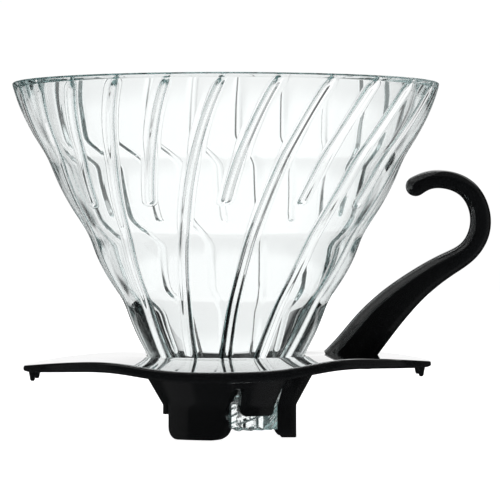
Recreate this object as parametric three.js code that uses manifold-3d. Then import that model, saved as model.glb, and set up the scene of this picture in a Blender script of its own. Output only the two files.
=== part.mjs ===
// Pour-over coffee dripper: a ribbed glass cone that screws by three helical lugs into a
// moulded base, with a soft seat ring between them and a hook handle staked to the base.
// Millimetres, +Z up, Z = 0 where the long tabs stand. Angles are turned about the cone's
// axis from the front (-Y) towards the handle (+X), counter-clockwise seen from above.
import * as THREE from "three";
import { mergeVertices } from "three/addons/utils/BufferGeometryUtils.js";
import Module from "manifold-3d";

const wasm = await Module();
wasm.setup();

// Driving dimensions of the glass cone.
const RIM_R = 59; // outer radius of the rim
const RIM_TOP = 97.7; // overall height
const RIM_LIP_R = 0.6; // radius that rounds the rim's outer edge
const TIER_LEANS = [
  [97.6, 0.25],
  [80.5, 0.68],
  [74.0, 0.4],
  [59.5, 0.72],
  [53.0, 0.34],
  [41.0, 0.74],
  [35.0, 0.36],
  [24.0, 0.55],
  [22.5, 0.55],
]; // height and lean (radius over height) of the outer wall, at each bowl-shaped tier's top and bottom
const MOUTH_GLASS_R = 21.7; // outer radius of the glass at the hub's mouth
const CONE_SLOPE = 0.496; // radius per millimetre of height inside the hub
const RIM_INNER_R = 56.3; // inner radius just under the rim
const OUTLET_R = 10; // radius of the outlet hole
const OUTLET_TOP = 9.8; // height where the inner cone meets the outlet hole
const NECK_R = 14.6; // outer radius of the glass neck
const NECK_BOTTOM = 2.2;
const NECK_TOP = 10; // height of the shoulder over the neck
const RIB_COUNT = 24; // every other rib is short
const RIB_TOP = 97.3;
const RIB_SHORT_END = 64.2;
const RIB_HEIGHT = 1.3;
const RIB_WIDTH = 2.1;
const RIB_SWEEP = -30; // degrees that a rib turns between the rim and the hub's mouth
const RIB_PHASE = 0;

// Driving dimensions of the screw lugs: three starts with this lead.
const STARTS = 3;
const LEAD = 30; // rise in one turn
const LUG_R = 15.7;
const LUG_THICKNESS = 1.6;
const LUG_HALF_ANGLE = 20;
const CATCH_R = 14.9; // inner radius of the base's catches
const CATCH_THICKNESS = 1.1;
const CATCH_HALF_ANGLE = 12;
const CATCH_MIDDLE = 8.1; // height of a catch at its middle
const RUN_GAP = 0.3; // clearance between pieces that touch

// Driving dimensions of the base.
const PLATE_R = 53; // reach of the plate's front and back
const WING_R = 56.3; // reach of the two wings
const WING_SHIFT = 0.4; // how much further the wing under the handle reaches than the other
const PLATE_CROWN = 22.9; // height of the plate's middle
const PLATE_TILT = 0.012; // rise of the plate's top towards the handle
const FRONT_DROOP = 3.3; // fall of the top surface at the front edge
const BACK_DROOP = 1.5; // fall of the top surface at the back edge
const DROOP_HALF_WIDTH = 26; // distance from the middle where the droop has faded
const WING_DROOP = 2.4; // fall of the top surface at the wing tips
const PLATE_THICKNESS = 2.9;
const TIP_THICKNESS = 1.7; // thickness at the wing tips
const MOUTH_R = 22.1; // inner radius of the hub's mouth
const MOUTH_Z = 22.45; // height of the hub's mouth
const MOUTH_BLEND_R = 30; // radius by which the mouth's flat ring has merged into the dome
const COLLAR_BOTTOM = 13.9;
const COLLAR_OUTER = [17.4, 8.9]; // a point on the collar's outer cone
const COLLAR_OUTER_SLOPE = 0.577;
const LONG_TABS = [
  [-26.8, 8.7],
  [94, 8.7],
  [211, 7.4],
]; // middle of each long tab, degrees, and its half width below the knee
const SHORT_TABS = [31.5, 152, 272.5]; // middle of each short tab, degrees
const LONG_TAB_R = 19.5;
const LONG_TAB_WALL = 3.4;
const LONG_TAB_KNEE = 9; // height where the tab turns from cone to cylinder
const LONG_TAB_CORNER = 3.5;
const LONG_TAB_FLARE = 4;
const SHORT_TAB_HALF = 5.45;
const SHORT_TAB_FLARE = 0.8;
const SHORT_TAB_CORNER = 1.9;
const SHORT_TAB_BOTTOM = 6.4;
const SHORT_TAB_INNER_R = 15.95;
const REST_PAD = { halfX: 9, y0: 33.5, y1: 39.5, bottom: 17.2, top: 20.5 };
const NUBS = [-52.8, 53.5]; // X of the two pairs of pegs under the wing tips
const NUB = { y: 9.5, above: 0.6, below: 2.6, topR: 1.15, bottomR: 0.6 };

// Driving dimensions of the seat ring.
const SEAT_BOTTOM = 17;
const SEAT_TOP = 20.5;
const SEAT_WALL = 1;

// Driving dimensions of the handle: its centre line in the XZ plane, with the half depth
// in that plane and the half width across it.
const HANDLE_LINE = [
  [31.6, 19.6, 6.1, 5.6],
  [35.2, 23.6, 5.95, 5.5],
  [40.6, 30.3, 5.7, 5.3],
  [47.0, 37.1, 4.95, 4.9],
  [53.6, 42.7, 4.05, 4.6],
  [61.4, 47.8, 3.35, 4.2],
  [66.9, 51.4, 2.95, 3.9],
  [69.95, 56.6, 2.98, 3.75],
  [70.05, 62.6, 2.85, 3.55],
  [66.7, 68.4, 2.65, 3.35],
  [60.4, 71.1, 2.55, 3.25],
  [55.4, 70.7, 2.6, 3.15],
  [52.4, 69.25, 2.8, 3.05],
];
const STAKE_X = [32.2, 38.6];
const STAKE_R = 1.6;
const STAKE_HEAD_R = 2.6;
const STAKE_HEAD_HEIGHT = 0.8;

const RADIANS = Math.PI / 180;
const RING_SEGMENTS = 60;

// A point at a radius, an angle from the front and a height.
function polar(radius, degrees, z) {
  const a = degrees * RADIANS;
  return new THREE.Vector3(radius * Math.sin(a), -radius * Math.cos(a), z);
}

function smoothstep(low, high, value) {
  const t = THREE.MathUtils.clamp((value - low) / (high - low), 0, 1);
  return t * t * (3 - 2 * t);
}

// ---- Solids ----

// Turns every face round when the mesh is inside out.
function facingOut(geometry) {
  const p = geometry.attributes.position;
  const index = geometry.index.array;
  const [a, b, c] = [0, 1, 2].map(() => new THREE.Vector3());
  let volume = 0;
  for (let i = 0; i < index.length; i += 3) {
    a.fromBufferAttribute(p, index[i]);
    b.fromBufferAttribute(p, index[i + 1]);
    c.fromBufferAttribute(p, index[i + 2]);
    volume += a.dot(b.cross(c));
  }
  if (volume < 0) {
    for (let i = 0; i < index.length; i += 3) {
      [index[i + 1], index[i + 2]] = [index[i + 2], index[i + 1]];
    }
  }
  return geometry;
}

function toSolid(geometry) {
  geometry.deleteAttribute("normal");
  geometry.deleteAttribute("uv");
  const merged = facingOut(mergeVertices(geometry, 1e-4));
  return new wasm.Manifold(
    new wasm.Mesh({
      numProp: 3,
      vertProperties: new Float32Array(merged.attributes.position.array),
      triVerts: new Uint32Array(merged.index.array),
    }),
  );
}

function toGeometry(solid) {
  const { vertProperties, triVerts } = solid.getMesh();
  const geometry = new THREE.BufferGeometry();
  geometry.setAttribute("position", new THREE.BufferAttribute(vertProperties, 3));
  geometry.setIndex(new THREE.BufferAttribute(triVerts, 1));
  return geometry;
}

function join(solids) {
  return solids.reduce((sum, solid) => sum.add(solid));
}

// A full turn of a closed outline of [radius, height] points.
function turned(outline, segments = RING_SEGMENTS) {
  const points = [...outline, outline[0]].map(([r, z]) => new THREE.Vector2(r, z));
  return toSolid(new THREE.LatheGeometry(points, segments).rotateX(Math.PI / 2));
}

// A skin through rows of points, all of one length. A ring of rows closes on itself;
// otherwise the two end rows are capped.
function lofted(rows, ring = false) {
  const across = rows[0].length;
  const positions = rows.flat().flatMap((p) => [p.x, p.y, p.z]);
  const index = [];
  const strips = ring ? rows.length : rows.length - 1;
  for (let i = 0; i < strips; i++) {
    const next = (i + 1) % rows.length;
    for (let j = 0; j < across; j++) {
      const k = (j + 1) % across;
      const [a, b] = [i * across + j, i * across + k];
      const [c, d] = [next * across + k, next * across + j];
      index.push(a, b, c, a, c, d);
    }
  }
  if (!ring) {
    const last = (rows.length - 1) * across;
    for (let j = 1; j < across - 1; j++) {
      index.push(0, j + 1, j);
      index.push(last, last + j, last + j + 1);
    }
  }
  const geometry = new THREE.BufferGeometry();
  geometry.setAttribute("position", new THREE.Float32BufferAttribute(positions, 3));
  geometry.setIndex(index);
  return toSolid(geometry);
}

// An upright round post between two heights.
function post(x, y, bottom, top, bottomR, topR = bottomR) {
  const geometry = new THREE.CylinderGeometry(topR, bottomR, top - bottom, 20);
  geometry.rotateX(Math.PI / 2);
  geometry.translate(x, y, (top + bottom) / 2);
  return toSolid(geometry);
}

function block(x0, x1, y0, y1, z0, z1) {
  const geometry = new THREE.BoxGeometry(x1 - x0, y1 - y0, z1 - z0);
  geometry.translate((x0 + x1) / 2, (y0 + y1) / 2, (z0 + z1) / 2);
  return toSolid(geometry);
}

// A short helical ridge of the screw's lead between two radii.
function helicalRidge(innerR, outerR, middleAngle, middleZ, halfAngle, thickness) {
  const steps = 8;
  const rows = [];
  for (let i = 0; i <= steps; i++) {
    const turn = halfAngle * ((2 * i) / steps - 1);
    const z = middleZ + (LEAD * turn) / 360;
    rows.push([
      polar(innerR, middleAngle + turn, z - thickness / 2),
      polar(outerR, middleAngle + turn, z - thickness / 2),
      polar(outerR, middleAngle + turn, z + thickness / 2),
      polar(innerR, middleAngle + turn, z + thickness / 2),
    ]);
  }
  return lofted(rows);
}

// ---- Glass cone ----

// Outer radius of the glass where it sits in the hub.
function seatedGlassR(z) {
  return MOUTH_GLASS_R - CONE_SLOPE * (TIER_LEANS.at(-1)[0] - z);
}

function innerGlassR(z) {
  const slope = (RIM_INNER_R - OUTLET_R) / (RIM_TOP - OUTLET_TOP);
  return Math.max(OUTLET_R, OUTLET_R + slope * (z - OUTLET_TOP));
}

// The outer wall from under the rim down to the hub's mouth, its lean summed up height by height.
function outerWall(top) {
  const steps = 3;
  const wall = [[0, top]];
  let fall = 0;
  for (let i = 1; i < TIER_LEANS.length; i++) {
    const [z0, lean0] = i === 1 ? [top, TIER_LEANS[0][1]] : TIER_LEANS[i - 1];
    const [z1, lean1] = TIER_LEANS[i];
    for (let k = 1; k <= steps; k++) {
      const lean = lean0 + (lean1 - lean0) * ((k - 0.5) / steps);
      fall += (lean * (z0 - z1)) / steps;
      wall.push([fall, z0 + ((z1 - z0) * k) / steps]);
    }
  }
  return wall.map(([down, z]) => [RIM_R - (down * (RIM_R - MOUTH_GLASS_R)) / fall, z]);
}

function glassOutline() {
  const lip = [];
  for (let i = 0; i < 3; i++) {
    const a = (i / 3) * 90 * RADIANS;
    lip.push([
      RIM_R - RIM_LIP_R + RIM_LIP_R * Math.sin(a),
      RIM_TOP - RIM_LIP_R + RIM_LIP_R * Math.cos(a),
    ]);
  }
  return [
    ...lip,
    ...outerWall(RIM_TOP - RIM_LIP_R),
    [seatedGlassR(NECK_TOP + 0.1), NECK_TOP + 0.1],
    [NECK_R, NECK_TOP],
    [NECK_R, NECK_BOTTOM + 0.5],
    [NECK_R - 0.5, NECK_BOTTOM],
    [OUTLET_R + 0.5, NECK_BOTTOM],
    [OUTLET_R, NECK_BOTTOM + 0.5],
    [OUTLET_R, OUTLET_TOP],
    [innerGlassR(RIM_TOP - 0.6), RIM_TOP - 0.6],
    [RIM_INNER_R + 0.4, RIM_TOP],
  ];
}

// A spiral rib on the cone's inner face, rooted 0.6 mm inside the glass.
function rib(rimAngle, bottomZ, steps) {
  const rows = [];
  for (let i = 0; i <= steps; i++) {
    const z = RIB_TOP + ((bottomZ - RIB_TOP) * i) / steps;
    const share = (RIB_TOP - z) / (RIB_TOP - MOUTH_Z);
    const angle = rimAngle + RIB_SWEEP * share ** 0.85;
    const wall = innerGlassR(z);
    const height = i === steps && bottomZ > OUTLET_TOP ? 0.15 : RIB_HEIGHT;
    const foot = (RIB_WIDTH / 2 / wall) / RADIANS;
    rows.push([
      polar(wall + 0.6, angle - foot, z),
      polar(wall + 0.6, angle + foot, z),
      polar(wall - height, angle + 0.55 * foot, z),
      polar(wall - height, angle - 0.55 * foot, z),
    ]);
  }
  return lofted(rows);
}

function glassCone() {
  const parts = [turned(glassOutline(), 48)];
  for (let i = 0; i < RIB_COUNT; i++) {
    const angle = RIB_PHASE + (i * 360) / RIB_COUNT;
    const long = i % 2 === 0;
    parts.push(rib(angle, long ? NECK_BOTTOM + 0.6 : RIB_SHORT_END, long ? 12 : 5));
  }
  const lugMiddle = CATCH_MIDDLE - CATCH_THICKNESS / 2 - RUN_GAP - LUG_THICKNESS / 2;
  for (let i = 0; i < STARTS; i++) {
    parts.push(
      helicalRidge(
        NECK_R - 0.5,
        LUG_R,
        SHORT_TABS[i],
        lugMiddle,
        LUG_HALF_ANGLE,
        LUG_THICKNESS,
      ),
    );
  }
  return join(parts);
}

// ---- Seat ring ----

function seatRing() {
  const inner = (z) => seatedGlassR(z) + RUN_GAP + 0.02;
  return turned([
    [inner(SEAT_BOTTOM), SEAT_BOTTOM],
    [inner(SEAT_BOTTOM) + SEAT_WALL, SEAT_BOTTOM],
    [inner(SEAT_TOP) + SEAT_WALL, SEAT_TOP],
    [inner(SEAT_TOP), SEAT_TOP],
  ]);
}

// ---- Base plate with hub, tabs and nubs ----

// Reach of the plate's edge at an angle from the front.
function plateReach(degrees) {
  const across = Math.sin(degrees * RADIANS);
  return PLATE_R + (WING_R - PLATE_R) * across ** 2 + WING_SHIFT * across;
}

// Height of the plate's top: wings that fall at their tips, and a drooping front and back.
function plateTop(x, y) {
  const fade = Math.exp(-((x / DROOP_HALF_WIDTH) ** 4));
  const droop = (y < 0 ? FRONT_DROOP : BACK_DROOP) * (y / PLATE_R) ** 2 * fade;
  const dome = PLATE_CROWN + PLATE_TILT * x - droop - WING_DROOP * (x / WING_R) ** 4;
  const merged = smoothstep(MOUTH_R, MOUTH_BLEND_R, Math.hypot(x, y));
  return MOUTH_Z + (dome - MOUTH_Z) * merged;
}

function plateThickness(x) {
  return PLATE_THICKNESS + (TIP_THICKNESS - PLATE_THICKNESS) * Math.abs(x / WING_R) ** 5;
}

// The domed plate as a ring around the hub, swollen upwards by lift to cut its neighbour.
function plateRing(lift = 0) {
  const around = 96;
  const innerR = MOUTH_R + 0.9;
  const rows = [];
  for (let i = 0; i < around; i++) {
    const angle = (i * 360) / around;
    const edgeX = plateReach(angle) * Math.sin(angle * RADIANS);
    const edgeR = plateThickness(edgeX) / 2;
    const reach = plateReach(angle) - edgeR;
    const radii = [0, 0.12, 0.25, 0.5, 0.75, 1].map((t) => innerR + (reach - innerR) * t);
    const at = (radius, depth) => {
      const p = polar(radius, angle, 0);
      p.z = plateTop(p.x, p.y) - depth;
      return p;
    };
    const edge = [45, 90, 135].map((turn) => {
      const p = polar(reach + edgeR * Math.sin(turn * RADIANS), angle, 0);
      p.z = at(reach, edgeR).z + edgeR * Math.cos(turn * RADIANS);
      return p;
    });
    const under = radii.map((r) => at(r, plateThickness(at(r, 0).x)));
    rows.push([...radii.map((r) => at(r, -lift)), ...edge, ...under.reverse()]);
  }
  return lofted(rows, true);
}

function collarOuterR(z) {
  return COLLAR_OUTER[0] + COLLAR_OUTER_SLOPE * (z - COLLAR_OUTER[1]);
}

// The collar round the glass, with the groove that holds the seat ring.
function collar() {
  const bore = (z) => seatedGlassR(z) + RUN_GAP + 0.05;
  const groove = (z) => seatedGlassR(z) + SEAT_WALL + 2 * RUN_GAP + 0.05;
  const [g0, g1] = [SEAT_BOTTOM - RUN_GAP, SEAT_TOP + RUN_GAP];
  return turned([
    [bore(COLLAR_BOTTOM), COLLAR_BOTTOM],
    [collarOuterR(COLLAR_BOTTOM), COLLAR_BOTTOM],
    [collarOuterR(21), 21],
    [collarOuterR(21), MOUTH_Z - 0.05],
    [MOUTH_R, MOUTH_Z - 0.05],
    [bore(g1), g1],
    [groove(g1), g1],
    [groove(g0), g0],
    [bore(g0), g0],
  ]);
}

// A wedge-sided shape looked at from outside, with round lower corners, reaching through
// the tab's wall at an angle. It cuts a tab out of a full ring.
function tabCutter(degrees, half, flare, bottom, knee, corner) {
  const top = PLATE_CROWN;
  const shape = new THREE.Shape();
  shape.moveTo(-half - flare, top);
  shape.lineTo(-half, knee);
  shape.lineTo(-half, bottom + corner);
  shape.absarc(-half + corner, bottom + corner, corner, Math.PI, 1.5 * Math.PI);
  shape.absarc(half - corner, bottom + corner, corner, 1.5 * Math.PI, 2 * Math.PI);
  shape.lineTo(half, knee);
  shape.lineTo(half + flare, top);
  shape.closePath();
  const geometry = new THREE.ExtrudeGeometry(shape, {
    depth: 22,
    bevelEnabled: false,
    curveSegments: 6,
  });
  geometry.translate(0, 0, 8);
  geometry.rotateX(Math.PI / 2);
  geometry.rotateZ(degrees * RADIANS);
  return toSolid(geometry);
}

function longTabs() {
  const slope = 0.545;
  const inner = LONG_TAB_R - LONG_TAB_WALL;
  const ring = turned([
    [inner, 0],
    [LONG_TAB_R, 0],
    [LONG_TAB_R, LONG_TAB_KNEE],
    [LONG_TAB_R + slope * (20.6 - LONG_TAB_KNEE), 20.6],
    [collarOuterR(20.6) - 0.6, 20.6],
    [collarOuterR(COLLAR_BOTTOM + 0.4) - 1.6, COLLAR_BOTTOM + 0.4],
    [inner, LONG_TAB_KNEE],
  ]);
  const cutters = LONG_TABS.map(([angle, half]) =>
    tabCutter(angle, half, LONG_TAB_FLARE, 0, LONG_TAB_KNEE, LONG_TAB_CORNER),
  );
  return cutters.map((cutter) => ring.intersect(cutter));
}

function shortTabs() {
  const bore = seatedGlassR(15) + RUN_GAP + 0.05;
  const ring = turned([
    [SHORT_TAB_INNER_R, SHORT_TAB_BOTTOM],
    [COLLAR_OUTER[0], SHORT_TAB_BOTTOM],
    COLLAR_OUTER,
    [collarOuterR(15), 15],
    [bore, 15],
    [SHORT_TAB_INNER_R, 15 - (bore - SHORT_TAB_INNER_R) / CONE_SLOPE],
  ]);
  return SHORT_TABS.flatMap((angle) => {
    const cutter = tabCutter(
      angle,
      SHORT_TAB_HALF,
      SHORT_TAB_FLARE,
      SHORT_TAB_BOTTOM,
      COLLAR_OUTER[1],
      SHORT_TAB_CORNER,
    );
    const grip = helicalRidge(
      CATCH_R,
      SHORT_TAB_INNER_R + 0.3,
      angle,
      CATCH_MIDDLE,
      CATCH_HALF_ANGLE,
      CATCH_THICKNESS,
    );
    return [ring.intersect(cutter), grip];
  });
}

function restPads() {
  const { halfX, y0, y1, bottom, top } = REST_PAD;
  return [
    block(-halfX, halfX, y0, y1, bottom, top),
    block(-halfX, halfX, -y1, -y0, bottom, top),
  ];
}

function nubs() {
  const { y, above, below, topR, bottomR } = NUB;
  const places = NUBS.flatMap((x) => [-y, y].map((side) => [x, side]));
  return places.map(([x, side]) => {
    const under = plateTop(x, side) - plateThickness(x);
    return post(x, side, under - below, under + above, bottomR, topR);
  });
}

function basePlate() {
  const whole = join([
    plateRing(),
    collar(),
    ...longTabs(),
    ...shortTabs(),
    ...restPads(),
    ...nubs(),
  ]);
  const holes = STAKE_X.map((x) => post(x, 0, 15, 30, STAKE_R + RUN_GAP));
  return whole.subtract(join(holes));
}

// ---- Handle ----

// The hook: an oval section along the centre line, round at its free end.
function hook() {
  const line = new THREE.CatmullRomCurve3(
    HANDLE_LINE.map(([x, z]) => new THREE.Vector3(x, 0, z)),
  );
  const size = new THREE.CatmullRomCurve3(
    HANDLE_LINE.map(([, , depth, width]) => new THREE.Vector3(depth, width, 0)),
  );
  const steps = 36;
  const around = 14;
  const stations = [];
  for (let i = 0; i <= steps; i++) {
    stations.push({ t: i / steps, shrink: 1, ahead: 0 });
  }
  for (const turn of [25, 50, 70, 84]) {
    const a = turn * RADIANS;
    stations.push({ t: 1, shrink: Math.cos(a), ahead: Math.sin(a) });
  }
  const rows = stations.map(({ t, shrink, ahead }) => {
    const along = line.getTangent(t);
    const side = new THREE.Vector3(-along.z, 0, along.x);
    const half = size.getPoint(t);
    const middle = line.getPoint(t).addScaledVector(along, ahead * half.x);
    return Array.from({ length: around }, (_, j) => {
      const a = (j / around) * 2 * Math.PI;
      return middle
        .clone()
        .addScaledVector(side, shrink * half.x * Math.cos(a))
        .add(new THREE.Vector3(0, shrink * half.y * Math.sin(a), 0));
    });
  });
  return lofted(rows);
}

function handle() {
  const below = block(10, 60, -20, 20, 5, PLATE_CROWN - 2);
  const foot = hook().subtract(plateRing(RUN_GAP)).subtract(below);
  const stakes = STAKE_X.flatMap((x) => {
    const under = plateTop(x + STAKE_HEAD_R, 0) - PLATE_THICKNESS - RUN_GAP;
    const head = under - STAKE_HEAD_HEIGHT;
    return [
      post(x, 0, under - 0.2, 25.5, STAKE_R),
      post(x, 0, head, under, STAKE_HEAD_R - 0.4, STAKE_HEAD_R),
    ];
  });
  return join([foot, ...stakes]);
}

// ---- Assembly ----

const glass = new THREE.MeshStandardMaterial({
  color: 0xe6eeee,
  roughness: 0.03,
  metalness: 0,
  transparent: true,
  opacity: 0.35,
});
const blackPlastic = new THREE.MeshStandardMaterial({
  color: 0x0b0c0d,
  roughness: 0.15,
  metalness: 0,
});
const silicone = new THREE.MeshStandardMaterial({
  color: 0x191919,
  roughness: 0.6,
  metalness: 0,
});

const dripper = new THREE.Group();

function piece(name, solid, material) {
  const mesh = new THREE.Mesh(toGeometry(solid), material);
  mesh.name = name;
  dripper.add(mesh);
}

piece("glass_cone", glassCone(), glass);
piece("seat_ring", seatRing(), silicone);
piece("base_plate", basePlate(), blackPlastic);
piece("handle", handle(), blackPlastic);

// The origin is the middle of the footprint, so the cone's axis lies off it, towards -X.
const box = new THREE.Box3().setFromObject(dripper);
dripper.position.x = -(box.min.x + box.max.x) / 2;

export default dripper;
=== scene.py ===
"""Looks of a pour-over coffee dripper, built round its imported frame.

Shapes are worked out in millimetres about the cone's own axis: a radius, an angle from the
front (-Y) towards the handle (+X), and a height. put_mesh() turns them into metres in the
frame's own coordinates.
"""
import math

import bmesh
import bpy
import numpy as np
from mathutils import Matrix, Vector


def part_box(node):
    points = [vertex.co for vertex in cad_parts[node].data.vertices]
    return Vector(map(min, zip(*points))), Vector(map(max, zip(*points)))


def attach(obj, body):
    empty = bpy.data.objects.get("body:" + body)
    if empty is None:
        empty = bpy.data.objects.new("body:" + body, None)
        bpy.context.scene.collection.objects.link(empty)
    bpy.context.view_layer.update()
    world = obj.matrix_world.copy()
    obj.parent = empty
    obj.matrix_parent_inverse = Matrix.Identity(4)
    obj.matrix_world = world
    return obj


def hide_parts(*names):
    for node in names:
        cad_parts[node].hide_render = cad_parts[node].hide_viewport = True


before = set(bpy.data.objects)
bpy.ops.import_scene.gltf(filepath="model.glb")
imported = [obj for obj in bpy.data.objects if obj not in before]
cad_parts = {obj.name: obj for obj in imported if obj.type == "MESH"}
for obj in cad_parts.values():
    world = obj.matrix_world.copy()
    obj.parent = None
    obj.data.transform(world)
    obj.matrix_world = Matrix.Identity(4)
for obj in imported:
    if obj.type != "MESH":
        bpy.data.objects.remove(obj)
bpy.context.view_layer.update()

MM = 0.001
CONE_LOW, CONE_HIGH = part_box("glass_cone")
AXIS_X = (CONE_LOW.x + CONE_HIGH.x) / 2

# Glass cone.
RIM_R = 58.95
RIM_TOP = 97.65
# The outer wall's lean (radius over height) at the top and bottom of each bowl-shaped tier.
TIER_LEANS = [
    (97.6, 0.25),
    (80.5, 0.68),
    (74.0, 0.40),
    (59.5, 0.72),
    (53.0, 0.34),
    (41.0, 0.74),
    (35.0, 0.36),
    (24.0, 0.55),
]
# How far, in millimetres of height, the change of lean between tiers is spread.
CREASE_SOFTNESS = 0.8
# The seated part below the tiers is a plain cone.
CONE_SLOPE = 0.496
# Radius and height of the glass at the mouth of the base.
MOUTH_GLASS = (21.7, 22.5)
RIM_INNER_R = 56.3
LIP_R = 0.6
OUTLET_R = 10.0
OUTLET_TOP = 9.8
NECK_R = 14.6
NECK_BOTTOM = 2.25
RIB_COUNT = 24
RIB_TOP = 97.05
RIB_SHORT_END = 64.2
RIB_HEIGHT = 1.28
# Degrees that a rib turns between the rim and the mouth of the base.
RIB_SWEEP = -30.0
# Ribs grow wider towards the neck: this share more at a radius of nothing.
RIB_SPREAD = 0.5
# Half of a rib's cross-section: distance from its middle, and share of its height.
RIB_SECTION = [
    (0.0, 1.0),
    (0.2, 1.0),
    (0.36, 0.93),
    (0.52, 0.78),
    (0.68, 0.6),
    (0.84, 0.41),
    (1.0, 0.22),
    (1.14, 0.08),
    (1.3, 0.0),
]
# Grid columns in the plain wall between two ribs.
BETWEEN_RIBS = 6
# Flutes round the neck, and how high its scalloped lower edge waves.
FLUTE_COUNT = 24
FLUTE_DEPTH = 0.42
SCALLOP_HEIGHT = 0.45

# Screw lugs on the neck and the catches they run under; the lead is the rise in one turn.
LEAD = 30.0
LUG_R = 15.7
LUG_THICKNESS = 1.6
LUG_HALF_ANGLE = 20.0
CATCH_R = 14.9
CATCH_OUTER_R = 16.3
CATCH_THICKNESS = 1.1
CATCH_HALF_ANGLE = 12.0
CATCH_MIDDLE = 8.1
RUN_GAP = 0.3

# Base.
PLATE_R = 53.0
WING_R = 56.3
# How much further the wing under the handle reaches than a plain one.
WING_SHIFT = 0.4
PLATE_CROWN = 22.9
PLATE_TILT = 0.012
FRONT_DROOP = 3.3
BACK_DROOP = 1.5
DROOP_HALF_WIDTH = 26.0
WING_DROOP = 2.4
PLATE_THICKNESS = 2.9
TIP_THICKNESS = 1.7
MOUTH_R = 22.1
MOUTH_Z = 22.45
MOUTH_BLEND_R = 30.0
COLLAR_BOTTOM = 13.9
# Radius and height of the collar's outside where the short tabs straighten.
COLLAR_OUTER = (17.4, 8.9)
COLLAR_OUTER_SLOPE = 0.577
# Middle in degrees and half width in millimetres of each long tab.
LONG_TABS = ((-26.8, 8.7), (94.0, 8.7), (211.0, 7.4))
LONG_TAB_R = 19.5
LONG_TAB_SLOPE = 0.545
LONG_TAB_BOTTOM = 0.02
LONG_TAB_TOP = 20.4
LONG_TAB_KNEE = 9.0
LONG_TAB_WALL = 3.4
LONG_TAB_FLARE = 0.6
LONG_TAB_CORNER = 3.5
# Middle in degrees of each short tab.
SHORT_TABS = (31.5, 152.0, 272.5)
SHORT_TAB_HALF = 5.45
SHORT_TAB_BOTTOM = 6.4
SHORT_TAB_TOP = 15.5
SHORT_TAB_WALL = 1.45
SHORT_TAB_FLARE = 0.12
SHORT_TAB_CORNER = 1.9
# Above its knee a tab widens by its flare for each millimetre, over this height.
FLARE_HEIGHT = 5.0
REST_PAD_Z = 17.2
SEAT_BOTTOM = 17.0
SEAT_TOP = 20.5
SEAT_WALL = 1.0
NUB_X = (-52.8, 53.5)
NUB_Y = 9.5

# Handle: centre line in the XZ plane, half depth in that plane and half width across it.
HANDLE_LINE = [
    (31.6, 19.6, 6.1, 5.6),
    (35.2, 23.6, 5.95, 5.5),
    (40.6, 30.3, 5.7, 5.3),
    (47.0, 37.1, 4.95, 4.9),
    (53.6, 42.7, 4.05, 4.6),
    (61.4, 47.8, 3.35, 4.2),
    (66.9, 51.4, 2.95, 3.9),
    (69.95, 56.6, 2.95, 3.7),
    (70.0, 62.6, 2.83, 3.5),
    (66.7, 68.4, 2.65, 3.3),
    (60.4, 71.1, 2.55, 3.2),
    (55.4, 70.7, 2.6, 3.1),
    (52.45, 69.25, 2.8, 3.0),
]
STAKE_X = (32.2, 38.6)
STAKE_R = 1.6
STAKE_HEAD_R = 2.6
STAKE_HEAD_HEIGHT = 0.8

# Camera.
CAMERA_DISTANCE = 902.0
CAMERA_HEIGHT = 51.6
CAMERA_X = -0.46
LENS = 235.0


# ---- Mesh tools ----


def smoothstep(low, high, value):
    t = np.clip((value - low) / (high - low), 0, 1)
    return t * t * (3 - 2 * t)


def polar(radius, degrees, z):
    """Points at a radius, an angle from the front and a height, as an (..., 3) array."""
    a = np.radians(degrees)
    radius, a, z = np.broadcast_arrays(radius, a, z)
    return np.stack([radius * np.sin(a), -radius * np.cos(a), z], axis=-1)


def grid_faces(rows, columns, ring_rows, ring_columns, start=0):
    """Quads over a grid of points, closing on itself along either way."""
    faces = []
    for i in range(rows if ring_rows else rows - 1):
        k = (i + 1) % rows
        for j in range(columns if ring_columns else columns - 1):
            m = (j + 1) % columns
            this_row = start + i * columns
            next_row = start + k * columns
            faces.append((this_row + j, this_row + m, next_row + m, next_row + j))
    return faces


def put_mesh(name, points, faces, smooth_angle=None):
    """A mesh object from points in millimetres about the cone's axis."""
    points = np.asarray(points, float).reshape(-1, 3) * MM
    points[:, 0] += AXIS_X
    mesh = bpy.data.meshes.new(name)
    mesh.from_pydata([tuple(p) for p in points], [], faces)
    made = bmesh.new()
    made.from_mesh(mesh)
    bmesh.ops.recalc_face_normals(made, faces=made.faces)
    made.to_mesh(mesh)
    made.free()
    obj = bpy.data.objects.new(name, mesh)
    bpy.context.scene.collection.objects.link(obj)
    for polygon in mesh.polygons:
        polygon.use_smooth = True
    if smooth_angle is not None:
        mesh.set_sharp_from_angle(angle=math.radians(smooth_angle))
    return obj


def lofted(name, rows, ring_rows=False, smooth_angle=None):
    """A closed skin through rings of points. An open stack of rings is capped at both ends."""
    rows = np.asarray(rows, float)
    count, across = rows.shape[:2]
    faces = grid_faces(count, across, ring_rows, True)
    if not ring_rows:
        faces.append(tuple(range(across)))
        faces.append(tuple(range(count * across - 1, (count - 1) * across - 1, -1)))
    return put_mesh(name, rows, faces, smooth_angle)


def merged(name, objects):
    """One object with every mesh in it, modifiers applied."""
    bpy.context.view_layer.update()
    graph = bpy.context.evaluated_depsgraph_get()
    made = bmesh.new()
    for obj in objects:
        mesh = bpy.data.meshes.new_from_object(obj.evaluated_get(graph), depsgraph=graph)
        made.from_mesh(mesh)
        bpy.data.meshes.remove(mesh)
    for obj in objects:
        bpy.data.objects.remove(obj)
    mesh = bpy.data.meshes.new(name)
    made.to_mesh(mesh)
    made.free()
    whole = bpy.data.objects.new(name, mesh)
    bpy.context.scene.collection.objects.link(whole)
    return whole


def bevelled(obj, width, angle=40, segments=3):
    bevel = obj.modifiers.new("edges", "BEVEL")
    bevel.width = width * MM
    bevel.segments = segments
    bevel.limit_method = "ANGLE"
    bevel.angle_limit = math.radians(angle)
    bevel.harden_normals = True
    return obj


# ---- Glass cone ----


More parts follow.
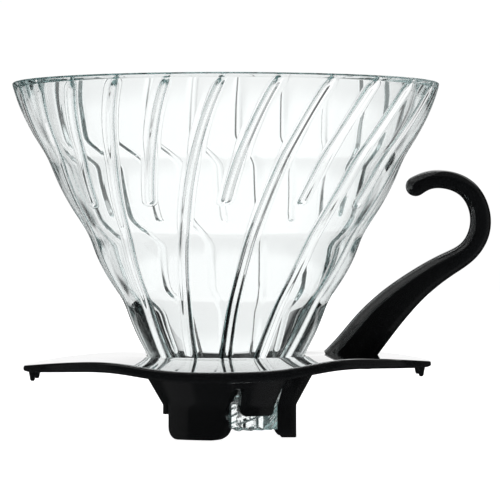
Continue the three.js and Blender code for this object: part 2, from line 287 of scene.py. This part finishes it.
def seated_glass_r(z):
    mouth_r, mouth_z = MOUTH_GLASS
    return mouth_r - CONE_SLOPE * (mouth_z - z)


def inner_glass_r(z):
    slope = (RIM_INNER_R - OUTLET_R) / (RIM_TOP - OUTLET_TOP)
    return np.maximum(OUTLET_R, OUTLET_R + slope * (z - OUTLET_TOP))


def outer_profile():
    """Radius and height from the lip's outer edge down to the neck's bottom."""
    step = 0.1
    fine = np.arange(MOUTH_GLASS[1], RIM_TOP - LIP_R, step)
    heights, leans = np.array(TIER_LEANS)[::-1].T
    lean = np.interp(fine, heights, leans)
    reach = np.arange(-25, 26)
    kernel = np.exp(-0.5 * (reach * step / CREASE_SOFTNESS) ** 2)
    lean = np.convolve(np.pad(lean, 25, mode="edge"), kernel / kernel.sum(), "valid")
    grown = np.concatenate([[0], np.cumsum((lean[1:] + lean[:-1]) / 2 * step)])
    r = MOUTH_GLASS[0] + grown * (RIM_R - MOUTH_GLASS[0]) / grown[-1]
    low = np.arange(10.3, MOUTH_GLASS[1], step)
    fine = np.concatenate([low, fine])
    r = np.concatenate([seated_glass_r(low), r])
    z = np.arange(10.6, RIM_TOP - LIP_R - 0.1, 0.45)[::-1]
    cone = np.stack([np.interp(z, fine, r), z], axis=1)
    shoulder = [(NECK_R + 0.55, 10.15), (NECK_R + 0.15, 9.95), (NECK_R, 9.6)]
    neck = [(NECK_R, z) for z in np.arange(9.3, 3.0, -0.25)]
    foot = [(NECK_R - 0.08, 2.75), (NECK_R - 0.25, 2.45), (NECK_R - 0.6, NECK_BOTTOM)]
    return np.array([*cone, *shoulder, *neck, *foot])


def lip_profile():
    """Radius and height over the rim, from the inner edge to the outer one."""
    inner = []
    for turn in np.linspace(0, 90, 5):
        a = math.radians(turn)
        inner.append((RIM_INNER_R + LIP_R * (1 - math.cos(a)), RIM_TOP - LIP_R * (1 - math.sin(a))))
    outer = []
    for turn in np.linspace(0, 90, 7):
        a = math.radians(turn)
        outer.append((RIM_R - LIP_R * (1 - math.sin(a)), RIM_TOP - LIP_R * (1 - math.cos(a))))
    return np.array(inner + outer)


def column_angles(radius, twist):
    """Angles of the grid's columns at a wall radius: each rib's section, then the span to the next rib."""
    pitch = 360 / RIB_COUNT
    half = [s for s, _ in RIB_SECTION]
    spread = 1 + RIB_SPREAD * (1 - radius / RIM_R)
    across = spread * np.array([-s for s in half[:0:-1]] + half)
    limit = 0.47 * math.radians(pitch) * radius
    offsets = np.degrees(across * min(1, limit / across[-1]) / radius)
    gap = np.linspace(offsets[-1], offsets[0] + pitch, BETWEEN_RIBS + 2)[1:-1]
    one = np.concatenate([offsets, gap])
    return np.concatenate([i * pitch + one for i in range(RIB_COUNT)]) + twist


def column_heights(z):
    """How far each column stands in from the wall: the ribs' section, faded at its lower end."""
    tall = [h for _, h in RIB_SECTION]
    section = np.array([*tall[:0:-1], *tall, *([0.0] * BETWEEN_RIBS)])
    begin = 0.2 + 0.8 * smoothstep(RIB_TOP, RIB_TOP - 2.4, z)
    short = begin * smoothstep(RIB_SHORT_END, RIB_SHORT_END + 1.6, z)
    long = begin * (0.55 + 0.45 * smoothstep(2, 12, z))
    return np.concatenate([section * (long if i % 2 == 0 else short) for i in range(RIB_COUNT)])


def rib_twist(z):
    share = max(0.0, (RIB_TOP - z) / (RIB_TOP - MOUTH_Z))
    return RIB_SWEEP * share**0.85


def neck_relief(angles, z):
    """Coarse slanted flutes round the neck and its three screw lugs."""
    depth = smoothstep(10.0, 8.6, z)
    flute = 0.5 + 0.5 * np.cos(np.radians(FLUTE_COUNT * (angles - z * 7.5)))
    relief = FLUTE_DEPTH * flute**1.5 * depth
    lug_z = CATCH_MIDDLE - CATCH_THICKNESS / 2 - RUN_GAP - LUG_THICKNESS / 2
    for middle in SHORT_TABS:
        turn = (angles - middle + 180) % 360 - 180
        across = np.abs(z - lug_z - LEAD * turn / 360)
        inside = smoothstep(LUG_HALF_ANGLE, LUG_HALF_ANGLE - 2, np.abs(turn))
        inside = inside * smoothstep(LUG_THICKNESS / 2 + 0.1, LUG_THICKNESS / 2 - 0.2, across)
        relief = np.maximum(relief, (LUG_R - NECK_R - 0.05) * inside)
        over = smoothstep(CATCH_HALF_ANGLE + 6, CATCH_HALF_ANGLE + 1, np.abs(turn)) * (1 - inside)
        relief = relief * (1 - over)
    return relief


def scallop(angles, z):
    """How far the neck's lower edge is drawn up between its flutes."""
    wave = 0.5 - 0.5 * np.cos(np.radians(FLUTE_COUNT * angles))
    return SCALLOP_HEIGHT * wave * smoothstep(5, 2.3, z)


def build_glass():
    rows = []
    for r, z in lip_profile():
        rib = RIB_HEIGHT * column_heights(z) if r < (RIM_INNER_R + RIM_R) / 2 else 0
        rib = rib * (1 - 0.5 * smoothstep(RIM_TOP - LIP_R, RIM_TOP, z))
        rows.append(polar(r - rib, column_angles(r, rib_twist(z)), z))
    for r, z in outer_profile():
        angles = column_angles(r, rib_twist(z))
        relief = neck_relief(angles, z) if z < 10 else 0
        rows.append(polar(r + relief, angles, z + scallop(angles, z)))
    inner_z = np.concatenate([
        [NECK_BOTTOM, NECK_BOTTOM + 0.15, NECK_BOTTOM + 0.5],
        np.arange(3.4, 62.5, 0.6),
        np.arange(62.6, 67.0, 0.2),
        np.arange(67.2, 93.5, 0.6),
        np.arange(93.6, RIM_TOP - LIP_R - 0.1, 0.2),
    ])
    for z in inner_z:
        wall = inner_glass_r(z)
        angles = column_angles(wall, rib_twist(z))
        flare = 0.5 * smoothstep(NECK_BOTTOM + 0.5, NECK_BOTTOM, z)
        rows.append(polar(wall + flare - RIB_HEIGHT * column_heights(z), angles, z + scallop(angles, z)))
    return lofted("glass_cone_pressed", rows, ring_rows=True)


# ---- Base ----


def plate_reach(degrees):
    across = np.sin(np.radians(degrees)) ** 2
    return PLATE_R + (WING_R - PLATE_R) * across + WING_SHIFT * np.sin(np.radians(degrees))


def plate_top(x, y):
    """Height of the plate's top: wings that fall at their tips, and a drooping front and back."""
    droop = np.where(y < 0, FRONT_DROOP, BACK_DROOP) * (y / PLATE_R) ** 2
    droop = droop * np.exp(-((x / DROOP_HALF_WIDTH) ** 4))
    dome = PLATE_CROWN + PLATE_TILT * x - droop - WING_DROOP * (x / WING_R) ** 4
    blend = smoothstep(MOUTH_R, MOUTH_BLEND_R, np.hypot(x, y))
    return MOUTH_Z + (dome - MOUTH_Z) * blend


def plate_thickness(x):
    return PLATE_THICKNESS + (TIP_THICKNESS - PLATE_THICKNESS) * (np.abs(x) / WING_R) ** 5


def plate_under(x, y):
    """Underside of the plate, with a flat land at the front and back that rests on a rim."""
    under = plate_top(x, y) - plate_thickness(x)
    across, out = np.abs(x), np.abs(y)
    land = smoothstep(9.6, 9.0, across) * smoothstep(33, 33.8, out) * smoothstep(39.9, 39.3, out)
    return under + (REST_PAD_Z - under) * land


def collar_outer_r(z):
    return COLLAR_OUTER[0] + COLLAR_OUTER_SLOPE * (z - COLLAR_OUTER[1])


def on_plate(radius, degrees, height):
    point = polar(radius, degrees, 0)
    return height(point[..., 0], point[..., 1])


def base_section(degrees):
    """Closed outline of the plate and collar at one angle, as radius and height."""
    bore = lambda z: seated_glass_r(z) + RUN_GAP + 0.05
    groove = lambda z: seated_glass_r(z) + SEAT_WALL + 2 * RUN_GAP + 0.05
    low, high = SEAT_BOTTOM - RUN_GAP, SEAT_TOP + RUN_GAP
    bottom = COLLAR_BOTTOM
    points = [
        (bore(bottom) + 0.3, bottom),
        (collar_outer_r(bottom) - 0.35, bottom),
        (collar_outer_r(bottom) - 0.05, bottom + 0.12),
    ]
    for z in np.linspace(bottom + 0.5, 17.6, 8):
        points.append((collar_outer_r(z), z))
    landing = 27.5
    under = on_plate(landing, degrees, plate_under)
    start, corner, end = (collar_outer_r(17.8), 17.8), (collar_outer_r(20.0), 20.0), (landing, under)
    for t in np.linspace(0, 1, 12):
        a, b, c = (1 - t) ** 2, 2 * t * (1 - t), t * t
        points.append(tuple(a * p + b * q + c * s for p, q, s in zip(start, corner, end)))
    edge_x = plate_reach(degrees) * math.sin(math.radians(degrees))
    half = float(plate_thickness(edge_x)) / 2
    reach = plate_reach(degrees) - half
    for r in np.linspace(landing, reach, 46)[1:]:
        points.append((r, on_plate(r, degrees, plate_under)))
    middle = on_plate(reach, degrees, plate_top) - half
    for turn in np.linspace(-90, 90, 13)[1:-1]:
        c, s = math.cos(math.radians(turn)), math.sin(math.radians(turn))
        k = (abs(c) ** 3 + abs(s) ** 3) ** (-1 / 3)
        points.append((reach + half * c * k, middle + half * s * k))
    for r in np.linspace(reach, MOUTH_R + 0.4, 64):
        points.append((r, on_plate(r, degrees, plate_top)))
    points += [(MOUTH_R + 0.12, MOUTH_Z - 0.08), (MOUTH_R, MOUTH_Z - 0.3)]
    points += [(bore(high + 0.4), high + 0.4), (bore(high), high), (groove(high), high)]
    points += [(groove(low), low), (bore(low), low), (bore(bottom + 0.4), bottom + 0.4)]
    return points


def plate_and_collar():
    sections = []
    for degrees in np.linspace(0, 360, 480, endpoint=False):
        outline = np.array([(float(r), float(z)) for r, z in base_section(degrees)])
        sections.append(polar(outline[:, 0], degrees, outline[:, 1]))
    return lofted("plate", sections, ring_rows=True, smooth_angle=35)


def tab(name, middle, bottom, top, half, flare, knee, corner, outer, wall):
    """A curved tab with rounded lower corners, outer and inner radius given by its height."""
    heights = [bottom + corner * (1 - math.cos(math.radians(a))) for a in np.linspace(0, 90, 10)]
    heights += list(np.linspace(bottom + corner, knee, 6)[1:]) + list(np.linspace(knee, top, 12)[1:])
    rings = []
    for z in heights:
        width = half + flare * min(z - knee, FLARE_HEIGHT) if z > knee else half
        if z < bottom + corner:
            drop = (bottom + corner - z) / corner
            width -= corner * (1 - math.sqrt(max(0.0, 1 - drop * drop)))
        r = outer(z)
        across = np.linspace(-width, width, 22)
        face = polar(r, middle + np.degrees(np.arcsin(across / r)), z)
        back_r = r - wall(z)
        back = polar(back_r, middle + np.degrees(np.arcsin(across[::-1] / back_r)), z)
        rings.append(np.concatenate([face, back]))
    piece = lofted(name, rings)
    return bevelled(piece, 0.4, angle=50)


def helical_ridge(name, inner, outer, middle, height, half_angle, thickness):
    rings = []
    for turn in np.linspace(-half_angle, half_angle, 16):
        z = height + LEAD * turn / 360
        corners = [(inner, -0.5), (outer, -0.5), (outer, 0.5), (inner, 0.5)]
        rings.append([polar(r, middle + turn, z + side * thickness) for r, side in corners])
    return bevelled(lofted(name, rings), 0.2)


def nub(x, y):
    """A small tapered peg under a wing tip, round at its end."""
    rings = []
    under = float(plate_under(x, y))
    profile = [(1.15, 0.6), (1.0, -0.3), (0.8, -1.4), (0.68, -2.1), (0.52, -2.45), (0.25, -2.6)]
    for r, z in profile:
        ring = polar(r, np.arange(0, 360, 15), under + z)
        ring[:, 0] += x
        ring[:, 1] += y
        rings.append(ring)
    return lofted("nub", rings)


def build_base():
    parts = [plate_and_collar()]
    for middle, half in LONG_TABS:
        parts.append(
            tab(
                "long_tab",
                middle,
                LONG_TAB_BOTTOM,
                LONG_TAB_TOP,
                half,
                LONG_TAB_FLARE,
                LONG_TAB_KNEE,
                LONG_TAB_CORNER,
                lambda z: LONG_TAB_R + LONG_TAB_SLOPE * max(0.0, z - LONG_TAB_KNEE),
                lambda z: LONG_TAB_WALL - 0.12 * max(0.0, z - 14),
            )
        )
    for middle in SHORT_TABS:
        parts.append(
            tab(
                "short_tab",
                middle,
                SHORT_TAB_BOTTOM,
                SHORT_TAB_TOP,
                SHORT_TAB_HALF,
                SHORT_TAB_FLARE,
                COLLAR_OUTER[1],
                SHORT_TAB_CORNER,
                lambda z: collar_outer_r(max(z, COLLAR_OUTER[1])),
                lambda z: SHORT_TAB_WALL + 0.07 * max(0.0, z - COLLAR_OUTER[1]),
            )
        )
        parts.append(
            helical_ridge(
                "catch", CATCH_R, CATCH_OUTER_R, middle, CATCH_MIDDLE, CATCH_HALF_ANGLE, CATCH_THICKNESS
            )
        )
    for x in NUB_X:
        for y in (-NUB_Y, NUB_Y):
            parts.append(nub(x, y))
    return merged("base_moulding", parts)


def build_seat_ring():
    inner = lambda z: seated_glass_r(z) + RUN_GAP + 0.02
    outline = [
        (inner(17.2), 17.2),
        (inner(17.0) + 0.2, 17.0),
        (inner(17.0) + 0.8, 17.0),
        (inner(17.2) + 1.0, 17.2),
        (inner(20.3) + 1.0, 20.3),
        (inner(20.5) + 0.8, 20.5),
        (inner(20.5) + 0.2, 20.5),
        (inner(20.3), 20.3),
        (inner(19.4) + 0.12, 19.4),
        (inner(18.7), 18.7),
        (inner(18.0) + 0.12, 18.0),
    ]
    radii, heights = np.array(outline).T
    rows = [polar(radii, a, heights) for a in range(0, 360, 3)]
    return lofted("seat_ring_soft", rows, ring_rows=True, smooth_angle=40)


# ---- Handle ----


def natural_spline(points, samples):
    """Points of a smooth curve through the given rows, evenly spread in length."""
    points = np.array(points, float)
    steps = np.hypot(np.diff(points[:, 0]), np.diff(points[:, 1]))
    knots = np.concatenate([[0], np.cumsum(steps)])
    n = len(points)
    system = np.eye(n)
    right = np.zeros_like(points)
    for i in range(1, n - 1):
        a, b = steps[i - 1], steps[i]
        system[i, i - 1 : i + 2] = [a, 2 * (a + b), b]
        right[i] = 6 * ((points[i + 1] - points[i]) / b - (points[i] - points[i - 1]) / a)
    second = np.linalg.solve(system, right)
    where = np.linspace(0, knots[-1], samples)
    k = np.clip(np.searchsorted(knots, where, "right") - 1, 0, n - 2)
    h = steps[k][:, None]
    u = (where - knots[k])[:, None]
    v = h - u
    return (
        (second[k] * v**3 + second[k + 1] * u**3) / (6 * h)
        + (points[k] / h - second[k] * h / 6) * v
        + (points[k + 1] / h - second[k + 1] * h / 6) * u
    )


def build_handle():
    line = natural_spline(HANDLE_LINE, 240)
    along = np.gradient(line[:, :2], axis=0)
    along /= np.linalg.norm(along, axis=1)[:, None]
    around = np.radians(np.arange(0, 360, 7.5))
    c, s = np.cos(around), np.sin(around)
    squareness = 2.3
    k = (np.abs(c) ** squareness + np.abs(s) ** squareness) ** (-1 / squareness)
    rings = np.zeros((len(line), len(around), 3))
    for i, (x, z, depth, width) in enumerate(line):
        tx, tz = along[i]
        rings[i, :, 0] = x - tz * depth * c * k
        rings[i, :, 1] = width * s * k
        rings[i, :, 2] = z + tx * depth * c * k
    # Each streamline starts where it leaves the plate's top.
    height = rings[..., 2] - plate_top(rings[..., 0], rings[..., 1]) + 0.05
    first = np.argmax(height > 0, axis=0)
    share = np.linspace(0, 1, 200)
    body = np.zeros((len(share), len(around), 3))
    for j, f in enumerate(first):
        start = f - height[f, j] / (height[f, j] - height[f - 1, j])
        where = start + (len(line) - 1 - start) * share
        for axis in range(3):
            body[:, j, axis] = np.interp(where, np.arange(len(line)), rings[:, j, axis])
    centre = body[0].mean(axis=0)
    sole = body[0] + (centre - body[0]) * 0.04
    sole[:, 2] = plate_top(sole[:, 0], sole[:, 1]) - 0.1
    x, z, depth, width = line[-1]
    tx, tz = along[-1]
    caps = []
    for turn in (15, 30, 45, 58, 70, 80, 87):
        a = math.radians(turn)
        shrink, ahead = math.cos(a), math.sin(a) * depth
        ring = np.zeros((len(around), 3))
        ring[:, 0] = x + tx * ahead - tz * depth * c * k * shrink
        ring[:, 1] = width * s * k * shrink
        ring[:, 2] = z + tz * ahead + tx * depth * c * k * shrink
        caps.append(ring)
    hook = lofted("hook", [sole, *body, *caps], smooth_angle=40)
    return merged("handle_hook", [hook, *stakes()])


def stakes():
    """Posts under the handle's foot, spread into flat heads below the plate."""
    made = []
    for x in STAKE_X:
        top = float(plate_top(x + STAKE_HEAD_R, 0)) - PLATE_THICKNESS - RUN_GAP
        head = top - STAKE_HEAD_HEIGHT
        profile = [
            (STAKE_R, 24.0),
            (STAKE_R, top + 0.02),
            (STAKE_HEAD_R - 0.1, top),
            (STAKE_HEAD_R, top - 0.2),
            (STAKE_HEAD_R - 0.15, top - 0.6),
            (STAKE_HEAD_R - 0.6, head + 0.1),
            (STAKE_HEAD_R - 1.2, head),
        ]
        rings = []
        for r, z in profile:
            ring = polar(r, np.arange(0, 360, 10), z)
            ring[:, 0] += x
            rings.append(ring)
        made.append(lofted("stake", rings, smooth_angle=45))
    return made


# ---- Materials ----


def new_material(name):
    material = bpy.data.materials.new(name)
    material.use_nodes = True
    nodes = material.node_tree.nodes
    return material, nodes, material.node_tree.links, nodes["Principled BSDF"]


def noise(nodes, links, scale, detail=3.0):
    coordinates = nodes.new("ShaderNodeTexCoord")
    texture = nodes.new("ShaderNodeTexNoise")
    texture.inputs["Scale"].default_value = scale
    texture.inputs["Detail"].default_value = detail
    links.new(coordinates.outputs["Object"], texture.inputs["Vector"])
    return texture.outputs["Fac"]


def map_range(nodes, links, value, low, high, from_low=0.3, from_high=0.7):
    node = nodes.new("ShaderNodeMapRange")
    node.inputs["From Min"].default_value = from_low
    node.inputs["From Max"].default_value = from_high
    node.inputs["To Min"].default_value = low
    node.inputs["To Max"].default_value = high
    links.new(value, node.inputs["Value"])
    return node.outputs["Result"]


def bump(nodes, links, height, strength, distance, under=None):
    node = nodes.new("ShaderNodeBump")
    node.inputs["Strength"].default_value = strength
    node.inputs["Distance"].default_value = distance
    links.new(height, node.inputs["Height"])
    if under is not None:
        links.new(under, node.inputs["Normal"])
    return node.outputs["Normal"]


def glass_material():
    """Clear pressed glass with the slight waviness of a mould and a faint green-grey body."""
    material, nodes, links, shader = new_material("clear_pressed_glass")
    shader.inputs["Base Color"].default_value = (0.997, 0.999, 0.998, 1)
    shader.inputs["Transmission Weight"].default_value = 1.0
    shader.inputs["IOR"].default_value = 1.5
    body = nodes.new("ShaderNodeVolumeAbsorption")
    body.inputs["Color"].default_value = (0.80, 0.935, 0.935, 1)
    body.inputs["Density"].default_value = 23.0
    links.new(body.outputs["Volume"], nodes["Material Output"].inputs["Volume"])
    wave = noise(nodes, links, 45, 1.0)
    links.new(bump(nodes, links, wave, 0.25, 0.0004), shader.inputs["Normal"])
    smear = noise(nodes, links, 160, 4.0)
    links.new(map_range(nodes, links, smear, 0.0, 0.02), shader.inputs["Roughness"])
    return material


def plastic_material():
    """Black gloss plastic: faint orange peel, and a roughness that varies as handled plastic does."""
    material, nodes, links, shader = new_material("black_gloss_plastic")
    tone = nodes.new("ShaderNodeMix")
    tone.data_type = "RGBA"
    tone.inputs["A"].default_value = (0.0035, 0.004, 0.0045, 1)
    tone.inputs["B"].default_value = (0.006, 0.0065, 0.007, 1)
    links.new(noise(nodes, links, 90, 5.0), tone.inputs["Factor"])
    links.new(tone.outputs["Result"], shader.inputs["Base Color"])
    shader.inputs["Specular IOR Level"].default_value = 0.5
    shader.inputs["Coat Weight"].default_value = 1.0
    shader.inputs["Coat Roughness"].default_value = 0.03
    smear = noise(nodes, links, 60, 4.0)
    links.new(map_range(nodes, links, smear, 0.03, 0.08), shader.inputs["Roughness"])
    peel = bump(nodes, links, noise(nodes, links, 900, 2.0), 0.02, 0.0001)
    links.new(peel, shader.inputs["Normal"])
    return material


def silicone_material():
    material, nodes, links, shader = new_material("soft_silicone")
    shader.inputs["Base Color"].default_value = (0.012, 0.012, 0.013, 1)
    links.new(map_range(nodes, links, noise(nodes, links, 300, 3.0), 0.5, 0.7), shader.inputs["Roughness"])
    links.new(bump(nodes, links, noise(nodes, links, 2500, 3.0), 0.2, 0.0001), shader.inputs["Normal"])
    return material


# ---- Studio ----


def build_world():
    """White to the camera; to everything else a bright room with dark strips between its lights."""
    world = bpy.data.worlds.new("studio")
    bpy.context.scene.world = world
    world.use_nodes = True
    nodes, links = world.node_tree.nodes, world.node_tree.links
    nodes.clear()
    out = nodes.new("ShaderNodeOutputWorld")
    background = nodes.new("ShaderNodeBackground")
    background.inputs["Color"].default_value = (1, 1, 1, 1)
    links.new(background.outputs[0], out.inputs["Surface"])
    where = nodes.new("ShaderNodeSeparateXYZ")
    links.new(nodes.new("ShaderNodeTexCoord").outputs["Generated"], where.inputs[0])

    def number(operation, a, b=None):
        node = nodes.new("ShaderNodeMath")
        node.operation = operation
        for socket, value in zip(node.inputs, (a, b)):
            if isinstance(value, (int, float)):
                socket.default_value = value
            elif value is not None:
                links.new(value, socket)
        return node.outputs[0]

    def ramp(value, low, high):
        node = nodes.new("ShaderNodeMapRange")
        node.interpolation_type = "SMOOTHSTEP"
        node.inputs["From Min"].default_value = low
        node.inputs["From Max"].default_value = high
        links.new(value, node.inputs["Value"])
        return node.outputs["Result"]

    x, y, z = where.outputs
    side = number("ABSOLUTE", x)
    flat = number("SQRT", number("ADD", number("MULTIPLY", x, x), number("MULTIPLY", y, y)))
    flat = number("MAXIMUM", flat, 0.001)
    back = ramp(number("DIVIDE", y, flat), 0.80, 0.89)
    low = ramp(number("MULTIPLY", z, -1), 0.03, 0.10)
    back = number("MULTIPLY", back, number("SUBTRACT", 1, number("MULTIPLY", low, 0.13)))
    front = ramp(number("DIVIDE", number("MULTIPLY", y, -1), flat), 0.80, 0.90)
    flank = number("MULTIPLY", ramp(number("DIVIDE", side, flat), 0.86, 0.95), 0.18)
    above = number("MULTIPLY", ramp(z, 0.5, 0.7), 0.25)
    below = number("MULTIPLY", ramp(number("MULTIPLY", z, -1), 0.14, 0.24), 0.7)
    front = number("MULTIPLY", front, 0.3)
    lobes = number("MAXIMUM", number("MAXIMUM", back, flank), number("MAXIMUM", front, above))
    seen_through = number("MAXIMUM", lobes, below)
    behind = number("MULTIPLY", ramp(number("DIVIDE", y, flat), 0.97, 0.99), ramp(z, -0.08, 0.0))
    mirrored = number("MAXIMUM", behind, number("MULTIPLY", flank, 0.3))
    mirrored = number("MAXIMUM", mirrored, number("MULTIPLY", above, 0.25))
    seen_through = number("ADD", number("MULTIPLY", seen_through, 1.1), 0.07)
    mirrored = number("ADD", number("MULTIPLY", mirrored, 0.95), 0.01)
    path = nodes.new("ShaderNodeLightPath")

    def choose(factor, a, b):
        rest = number("MULTIPLY", a, number("SUBTRACT", 1, factor))
        return number("ADD", rest, number("MULTIPLY", b, factor))

    through = number("SUBTRACT", 1, path.outputs["Is Transmission Ray"])
    glossy = number("MULTIPLY", path.outputs["Is Glossy Ray"], through)
    level = choose(glossy, seen_through, mirrored)
    level = choose(path.outputs["Is Camera Ray"], level, 1.02)
    links.new(level, background.inputs["Strength"])


def area_light(name, place, target, size, power):
    data = bpy.data.lights.new(name, "AREA")
    data.shape = "RECTANGLE"
    data.size, data.size_y = size
    data.energy = power
    light = bpy.data.objects.new(name, data)
    light.location = place
    light.visible_camera = False
    light.rotation_euler = (Vector(target) - Vector(place)).to_track_quat("-Z", "Y").to_euler()
    bpy.context.scene.collection.objects.link(light)
    return light


def build_floor():
    """A wide pale floor, rounded at its edge."""
    rings = []
    for radius, z in [(3.0, -0.02), (3.0, -0.004), (2.98, -0.0005), (2.9, 0.0)]:
        a = np.radians(np.arange(0, 360, 3))
        rings.append(np.stack([radius * np.cos(a), radius * np.sin(a), np.full_like(a, z)], axis=1))
    rows = np.array(rings) / MM
    rows[..., 0] -= AXIS_X / MM
    floor = lofted("floor", rows)
    material = bpy.data.materials.new("pale_floor")
    material.use_nodes = True
    shader = material.node_tree.nodes["Principled BSDF"]
    shader.inputs["Base Color"].default_value = (0.9, 0.9, 0.9, 1)
    shader.inputs["Roughness"].default_value = 0.9
    shader.inputs["Emission Color"].default_value = (1, 1, 1, 1)
    shader.inputs["Emission Strength"].default_value = 1.0
    floor.data.materials.append(material)
    floor.visible_glossy = False
    floor.visible_transmission = False
    return floor


def build_camera():
    data = bpy.data.cameras.new("camera")
    data.sensor_width = 36
    data.lens = LENS
    data.clip_start = 0.01
    data.clip_end = 50
    camera = bpy.data.objects.new("camera", data)
    camera.location = (CAMERA_X * MM, -CAMERA_DISTANCE * MM, CAMERA_HEIGHT * MM)
    camera.rotation_euler = (math.radians(90), 0, 0)
    bpy.context.scene.collection.objects.link(camera)
    bpy.context.scene.camera = camera


def place(piece, body, node, slot, material):
    piece.data.materials.clear()
    piece.data.materials.append(material)
    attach(piece, body)
    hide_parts(node)


place(build_glass(), "cone", "glass_cone", "glass", glass_material())
place(build_seat_ring(), "ring", "seat_ring", "silicone", silicone_material())
plastic = plastic_material()
place(build_base(), "base", "base_plate", "black_plastic", plastic)
place(build_handle(), "base", "handle", "black_plastic", plastic)

build_floor()
build_world()
build_camera()
area_light("key", (-0.7, -0.3, 1.1), (0, 0, 0.05), (0.8, 0.6), 0.4)
area_light("back", (0.5, 0.9, 0.9), (0, 0, 0.05), (0.9, 0.5), 0.6)
bpy.context.scene.view_settings.view_transform = "Standard"
# Light is passed on many times inside thick glass.
bpy.context.scene.cycles.max_bounces = 32
bpy.context.scene.cycles.glossy_bounces = 16
bpy.context.scene.cycles.transmission_bounces = 32

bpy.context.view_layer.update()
